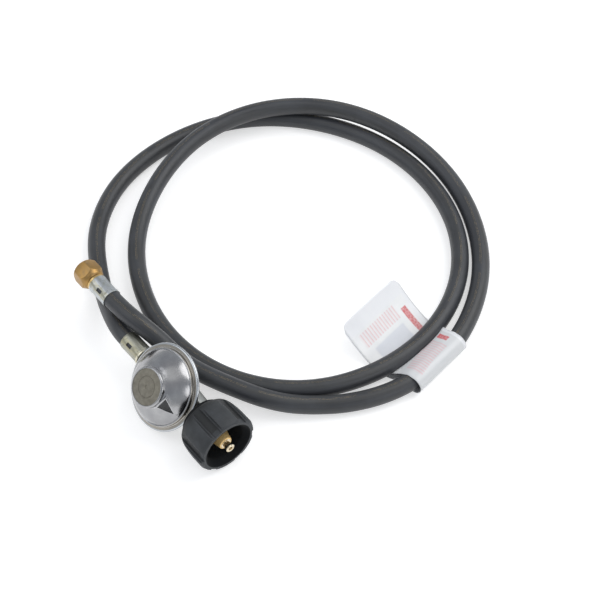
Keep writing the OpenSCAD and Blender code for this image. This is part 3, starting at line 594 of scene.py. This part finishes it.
def black_plastic():
    """Moulded black grip: fine grain, painted shade that darkens its bore, bays and hollows, and a
    painted highlight a little paler along its edges.
    """
    f = Finish("black_plastic", specular_ior_level=0.25)
    dark, pale, edge_highlight = (0.040, 0.043, 0.046), (0.054, 0.058, 0.063), (0.105, 0.110, 0.118)
    # painted shade: a near-black bore, darker bays and darker hollows
    bore_shade, bay_shade, in_shade = (0.006, 0.007, 0.008), (0.017, 0.018, 0.018), (0.010, 0.011, 0.012)
    _, y, z = f.split(f.in_frame(PORT))
    reach = f.hypotenuse(y, z)
    out_of_bore = f.spread(reach, *NUT_BORE)
    plain = f.mix(f.patches(7 * MM, 4), dark, pale)
    nut_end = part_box("wheel_nut")[1].x - NUT_FACE
    # painted shade in the bays between the lobes
    bay_shade_mask = f.math("MULTIPLY", f.spread(reach, *NUT_BAYS, 0.8, 0.0),
                  f.inside(f.split(f.place)[0], 0.0, nut_end, 0.5 * MM))
    plain = f.mix(bay_shade_mask, plain, bay_shade)
    # painted shade in the hollows, darker where ambient occlusion finds them closed in
    open_air = f.node("AmbientOcclusion", {"Distance": 5 * MM}, samples=SHADE_SAMPLES).outputs["AO"]
    plain = f.mix(f.spread(open_air, 0.35, 0.9), in_shade, plain)
    # painted highlight along the grip's edges
    plain = f.mix(f.highlit_edges(0.6 * MM, 0.01, 0.12, 0.6), plain, edge_highlight)
    # painted shade: the bore is coloured near black
    f.colour(f.mix(out_of_bore, bore_shade, plain))
    grain = f.patches(1.2 * MM, 4, 0.42, 0.56)
    f.rough(f.math("MAXIMUM", grain, f.math("SUBTRACT", 0.95, out_of_bore)))
    f.bump(f.noise(0.28 * MM, 2), 0.05 * MM)
    return f


def steel(name, tone, roughness):
    """Bright steel wire and stampings, with fine drawing marks."""
    f = Finish(name, metallic=1.0)
    f.colour(f.mix(f.noise(2 * MM), tuple(0.85 * t for t in tone), tone))
    f.rough(f.patches(0.5 * MM, 3, roughness - 0.05, roughness + 0.08))
    f.bump(f.noise(0.2 * MM, 2), 0.006 * MM)
    return f


def seal_rubber():
    """Black nitrile of the diaphragm and the valve's disc."""
    f = Finish("seal_rubber", specular_ior_level=0.4)
    f.colour(f.mix(f.noise(1.5 * MM), (0.016, 0.016, 0.017), (0.034, 0.034, 0.035)))
    f.rough(f.patches(0.4 * MM, 3, 0.5, 0.7))
    f.bump(f.noise(0.3 * MM), 0.02 * MM)
    return f


# The hose's printed lines: where they are round it, in turns, and their dashes along it, in metres.
PRINT_AT = 0.25
PRINT_WANDER, WANDER_RATE = 0.018, 9.0
PRINT_LINE, PRINT_SOFT = (0.008, 0.0145), 0.002
DASH_PITCH = 0.085
DASH_INKED, DASH_SOFT = (0.04, 0.93), 0.004    # as shares of the pitch


def hose_print(f, turn, along):
    """How much ink there is: a thin pair of worn lines that wander a little, with short breaks."""
    wave = f.math("SINE", f.math("MULTIPLY", along, WANDER_RATE))
    centre = f.math("ADD", f.math("MULTIPLY", wave, PRINT_WANDER), PRINT_AT)
    off = f.math("SUBTRACT", turn, centre)
    near, far = PRINT_LINE
    pair = f.math("ADD", f.inside(off, near, far, PRINT_SOFT),
                  f.inside(off, -far, -near, PRINT_SOFT))
    dash = f.inside(f.math("FRACT", f.math("DIVIDE", along, DASH_PITCH)), *DASH_INKED, DASH_SOFT)
    worn = f.spread(f.noise(1.1 * MM, 4), 0.40, 0.62)
    return f.math("MULTIPLY", f.math("MULTIPLY", pair, dash), f.math("MULTIPLY", worn, 0.85))


def hose_rubber():
    """Extruded rubber: lengthwise lines, a dusty bloom, and printed ochre lines."""
    f = Finish("hose_rubber", specular_ior_level=0.5)
    dark, pale, brown = (0.029, 0.031, 0.036), (0.043, 0.046, 0.053), (0.038, 0.037, 0.032)
    dust, ochre = (0.068, 0.075, 0.086), (0.24, 0.19, 0.105)
    turn, along, _ = f.split(f.node("UVMap", uv_map="UVMap").outputs[0])
    angle = f.math("MULTIPLY", turn, 2 * pi)
    lines = f.node("CombineXYZ", {0: f.math("MULTIPLY", f.math("COSINE", angle), HOSE_R),
                                  1: f.math("MULTIPLY", f.math("SINE", angle), HOSE_R),
                                  2: f.math("MULTIPLY", along, 0.02)}).outputs[0]
    streak = f.noise(0.7 * MM, at=lines)
    broad = f.noise(4 * MM, 2, at=lines)
    cloud = f.noise(22 * MM, 4)
    plain = f.mix(f.spread(streak, *USUAL), dark, pale)
    plain = f.mix(f.spread(broad, 0.35, 0.7, 0.0, 0.5), plain, brown)
    dusty = f.mix(f.spread(cloud, 0.42, 0.75, 0.0, 0.35), plain, dust)
    f.colour(f.mix(hose_print(f, turn, along), dusty, ochre))
    f.rough(f.spread(f.math("ADD", streak, cloud), *USUAL_SUM, 0.36, 0.5))
    f.bump(streak, 0.05 * MM)
    f.bump(f.noise(0.5 * MM), 0.02 * MM)
    return f


# The tag's print, in millimetres along the film from its free end, and across it.
CLEAR_END, CLEAR_EDGE, CLEAR_SOFT = (-9, 13), (-9, 3.5), 0.5
OVER_HOSE, OVER_HOSE_SOFT = (63, 118), 5
PAGES, PAGES_ACROSS = ((15, 27), (70, 86)), (16, 55)
RULE_PITCH, RULE_SHARE, RULE_SOFT = 2.75, 0.42, 0.16
PANEL, PANEL_ACROSS, PANEL_SOFT = (31, 47), (18, 50), 0.8
BARS, BARS_ACROSS = ((22, 50), (72, 82)), (7, 12)
INK_SOFT = 0.35


def tag_film():
    """Laminated off-white film with a clear border and a plain generic print, with no words."""
    f = Finish("tag_film", specular_ior_level=0.5, coat_weight=0.35, coat_roughness=0.12)
    grey, paper, clear = (0.80, 0.81, 0.82), (0.88, 0.88, 0.88), (0.84, 0.85, 0.88)
    over_rubber, pink = (0.62, 0.63, 0.64), (0.72, 0.40, 0.42)
    red, blue = (0.60, 0.03, 0.04), (0.52, 0.56, 0.66)
    along, across, _ = f.split(f.node("UVMap", uv_map="UVMap").outputs[0])

    def band(value, limits, soft):
        low, high = limits
        return f.inside(value, low * MM, high * MM, soft * MM)

    def block(lengthwise, crosswise, soft=INK_SOFT):
        return f.math("MULTIPLY", band(along, lengthwise, soft), band(across, crosswise, soft))

    def inked(colour, mask, strength, ink):
        return f.mix(f.math("MULTIPLY", mask, strength), colour, ink)

    cloud = f.noise(11 * MM)
    colour = f.mix(f.spread(cloud, *USUAL), grey, paper)
    colour = inked(colour, band(along, OVER_HOSE, OVER_HOSE_SOFT), 0.8, over_rubber)
    border = f.math("MAXIMUM", band(along, CLEAR_END, CLEAR_SOFT),
                    band(across, CLEAR_EDGE, CLEAR_SOFT))
    colour = inked(colour, border, 0.6, clear)
    worn = f.spread(f.noise(1.6 * MM, 4), 0.3, 0.6, 0.6, 1.0)
    phase = f.math("FRACT", f.math("DIVIDE", across, RULE_PITCH * MM))
    rules = f.math("MULTIPLY", f.inside(phase, 0.0, RULE_SHARE, RULE_SOFT), worn)
    for lengthwise in PAGES:
        page = block(lengthwise, PAGES_ACROSS)
        colour = inked(colour, page, 0.10, pink)
        colour = inked(colour, f.math("MULTIPLY", page, rules), 0.6, pink)
    colour = inked(colour, block(PANEL, PANEL_ACROSS, PANEL_SOFT), 0.45, blue)
    for lengthwise in BARS:
        colour = inked(colour, f.math("MULTIPLY", block(lengthwise, BARS_ACROSS), worn), 0.9, red)
    f.colour(colour)
    f.rough(f.spread(cloud, *USUAL, 0.3, 0.42))
    f.bump(f.noise(7 * MM, 2), 0.12 * MM)
    return f


FINISHES = {
    "cast_zinc": cast_zinc(),
    "plated_cover": plated_cover(),
    "cap_plastic": cap_plastic(),
    "dark_mesh": vent_mesh(),
    "black_rubber": seal_rubber(),
    "zinc_plate": steel("zinc_plate", (0.55, 0.53, 0.40), 0.35),
    "spring_steel": steel("spring_steel", (0.58, 0.58, 0.60), 0.25),
    "brass": brass("brass", (0.72, 0.52, 0.22), (0.55, 0.38, 0.16), 0.30),
    "polished_brass": brass("polished_brass", (0.95, 0.66, 0.28), (0.85, 0.56, 0.22), 0.30,
                            metallic=0.35),
    "satin_brass": brass("satin_brass", (0.40, 0.24, 0.085), (0.33, 0.215, 0.095), 0.34,
                         scratch=0.01 * MM),
    "bright_collar": steel("bright_collar", (0.70, 0.66, 0.52), 0.20),
    "crimped_zinc": crimped_zinc("crimped_zinc", PORT, ((0.33, 0.325, 0.275), (0.43, 0.43, 0.37))),
    "bright_zinc": crimped_zinc("bright_zinc", FITTING, ((0.44, 0.46, 0.47), (0.56, 0.59, 0.61))),
    "pale_tip": brass("pale_tip", (0.80, 0.72, 0.56), (0.62, 0.50, 0.32), 0.24),
    "black_plastic": black_plastic(),
    "hose_rubber": hose_rubber(),
    "tag_film": tag_film(),
}


def paint(piece, slot, finish=None):
    """Gives a piece the finish of one of the record's slots, or a variant of it."""
    piece.data.materials.clear()
    piece.data.materials.append(FINISHES[finish or slot].data)


# ------------------------------------------------------------------ rigid pieces

SLOTS = {name: node.material_slots[0].material.name.split(".")[0]
         for name, node in frame["nodes"].items() if node.material_slots}
# Pieces whose edges are broken, and by how much.
ROUNDED = {
    "wheel_nut": 0.6 * MM, "flare_nut": 0.35 * MM, "outlet_stem": 0.3 * MM,
    "regulator_ferrule": 0.2 * MM, "fitting_ferrule": 0.2 * MM, "inlet_nipple": 0.2 * MM,
    "lower_body": 0.35 * MM, "diaphragm_cover": 0.25 * MM, "tower_cap": 0.25 * MM,
    "poppet_cage": 0.12 * MM,
}
VARIANTS = {"fitting_ferrule": "bright_zinc"}
# Ferrules turned about their own axis, so that the stamped window is where the photograph has it.
CLOCKED = {"regulator_ferrule": PORT, "fitting_ferrule": FITTING}
CLOCKED_BY = radians(-45)
# Springs, copied as they stand, and the joints that would press them.
SPRINGS = {"main_spring": "diaphragm_lift", "poppet_spring": "flow_check"}

WELD = 2e-6
NO_LENGTH = 1e-7
FLAT_WITHIN = radians(0.6)
BROKEN_FROM = radians(28)
SHARP_FROM = radians(35)
BEVEL_SEGMENTS = 2


def rounded(node, width):
    """A copy of a CAD node's mesh with its edges broken, in the node's place."""
    body = frame["nodes"][node]["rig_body"]
    bm = bmesh.new()
    bm.from_mesh(frame["nodes"][node].data)
    bmesh.ops.remove_doubles(bm, verts=bm.verts, dist=WELD)
    bmesh.ops.dissolve_limit(bm, angle_limit=FLAT_WITHIN, verts=bm.verts, edges=bm.edges)
    edges = [e for e in bm.edges if e.is_manifold and e.calc_face_angle(0) > BROKEN_FROM]
    bmesh.ops.bevel(bm, geom=edges, offset=width, offset_type="OFFSET", segments=BEVEL_SEGMENTS,
                    profile=0.5, affect="EDGES", clamp_overlap=True)
    bmesh.ops.remove_doubles(bm, verts=bm.verts, dist=NO_LENGTH)
    bmesh.ops.dissolve_degenerate(bm, dist=NO_LENGTH, edges=bm.edges)
    for face in bm.faces:
        face.smooth = True
    mesh = bpy.data.meshes.new(node + "_finish")
    bm.to_mesh(mesh)
    bm.free()
    mesh.set_sharp_from_angle(angle=SHARP_FROM)
    piece = add_object(node + "_finish", mesh)
    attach(piece, body)
    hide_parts(node)
    return piece


def yielding_spring(node):
    """A plain copy of a spring's mesh, on its body in the node's place."""
    body = frame["nodes"][node]["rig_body"]
    spring = add_object(node + "_coil", frame["nodes"][node].data.copy())
    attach(spring, body)
    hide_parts(node)
    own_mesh(spring)
    return spring


def about_x(centre, angle):
    """A turn about a line along X through a place."""
    return (Matrix.Translation(centre) @ Matrix.Rotation(angle, 4, "X")
            @ Matrix.Translation(-centre))


for name, node in frame["nodes"].items():
    if name in ("hose", "instruction_tag"):
        continue
    if name in ROUNDED:
        piece = rounded(name, ROUNDED[name])
        paint(piece, SLOTS[name], VARIANTS.get(name))
        if name in CLOCKED:
            piece.data.transform(about_x(CLOCKED[name], CLOCKED_BY))
    elif name in SPRINGS:
        paint(yielding_spring(name), SLOTS[name])
    else:
        node.data.materials.clear()
        node.data.materials.append(FINISHES[SLOTS[name]].data)
paint(hose, "hose_rubber")
paint(tag, "tag_film")


# ------------------------------------------------------------------ stage

# Each lamp's name, size across in metres, power, place and colour.
LAMPS = [("key", 1.6, 15, (0.27, 1.28, 1.45), (1, 0.99, 0.97)),
         ("fill", 1.6, 7, (-0.66, -0.96, 1.45), (0.97, 0.98, 1)),
         ("side", 0.8, 3, (1.5, 0.35, 0.8), (1, 0.99, 0.98))]
LAMPS_AIM = (-0.05, 0.1, 0)
# The world's tones by height, from nought at the horizon to one overhead.
CEILING = [(0.0, (1, 1, 1)), (0.12, (0.60, 0.62, 0.64)), (0.6, (0.50, 0.53, 0.57)),
           (0.9, (0.46, 0.47, 0.50)), (0.98, (0.85, 0.86, 0.87))]
FLOOR_HALF = 3
FLOOR_Z = -0.2 * MM
FLOOR_TONE = (0.7, 0.7, 0.7)
FLOOR_GLOW = (0.54, 0.54, 0.54)


def light(name, size, power, at, colour):
    """A round soft lamp at a place in metres, pointed at the object."""
    data = bpy.data.lights.new(name, "AREA")
    data.shape = "DISK"
    data.size, data.energy, data.color = size, power, colour
    point(add_object(name, data), at, Vector(LAMPS_AIM) - Vector(at))


def seen_directly(tree):
    """One where a ray comes from the camera or from a mirror or through glass, else nought."""
    path = tree.nodes.new("ShaderNodeLightPath")
    total = path.outputs["Is Camera Ray"]
    for name in ("Is Glossy Ray", "Is Transmission Ray"):
        top = tree.nodes.new("ShaderNodeMath")
        top.operation = "MAXIMUM"
        tree.links.new(total, top.inputs[0])
        tree.links.new(path.outputs[name], top.inputs[1])
        total = top.outputs[0]
    return total


def make_world():
    """White at the horizon, as the floor is, with a cool grey ceiling above it."""
    world = bpy.data.worlds.new("studio")
    bpy.context.scene.world = world
    world.use_nodes = True
    tree = world.node_tree
    sky = tree.nodes["Background"]
    height = tree.nodes.new("ShaderNodeSeparateXYZ")
    tree.links.new(tree.nodes.new("ShaderNodeTexCoord").outputs["Generated"], height.inputs[0])
    ramp = tree.nodes.new("ShaderNodeValToRGB")
    tree.links.new(height.outputs["Z"], ramp.inputs[0])
    stops = ramp.color_ramp.elements
    for stop, (at, tone) in ((stops[0], CEILING[0]), (stops[1], CEILING[-1])):
        stop.position, stop.color = at, (*tone, 1)
    for at, tone in CEILING[1:-1]:
        stops.new(at).color = (*tone, 1)
    tree.links.new(ramp.outputs[0], sky.inputs["Color"])


def make_floor():
    """A matt floor that keeps the object's shadow and is white where it is seen."""
    corners = [(FLOOR_HALF * x, FLOOR_HALF * y, FLOOR_Z)
               for x, y in ((-1, -1), (1, -1), (1, 1), (-1, 1))]
    floor = mesh_object("floor", corners, [(0, 1, 2, 3)], smooth=False)
    data = bpy.data.materials.new("floor")
    data.use_nodes = True
    tree = data.node_tree
    matt = tree.nodes["Principled BSDF"]
    matt.inputs["Base Color"].default_value = (*FLOOR_TONE, 1)
    matt.inputs["Roughness"].default_value = 1
    matt.inputs["Specular IOR Level"].default_value = 0
    tree.links.new(seen_directly(tree), matt.inputs["Emission Strength"])
    matt.inputs["Emission Color"].default_value = (*FLOOR_GLOW, 1)
    floor.data.materials.append(data)


make_world()
make_floor()
for lamp in LAMPS:
    light(*lamp)
bpy.context.scene.view_settings.view_transform = "Standard"
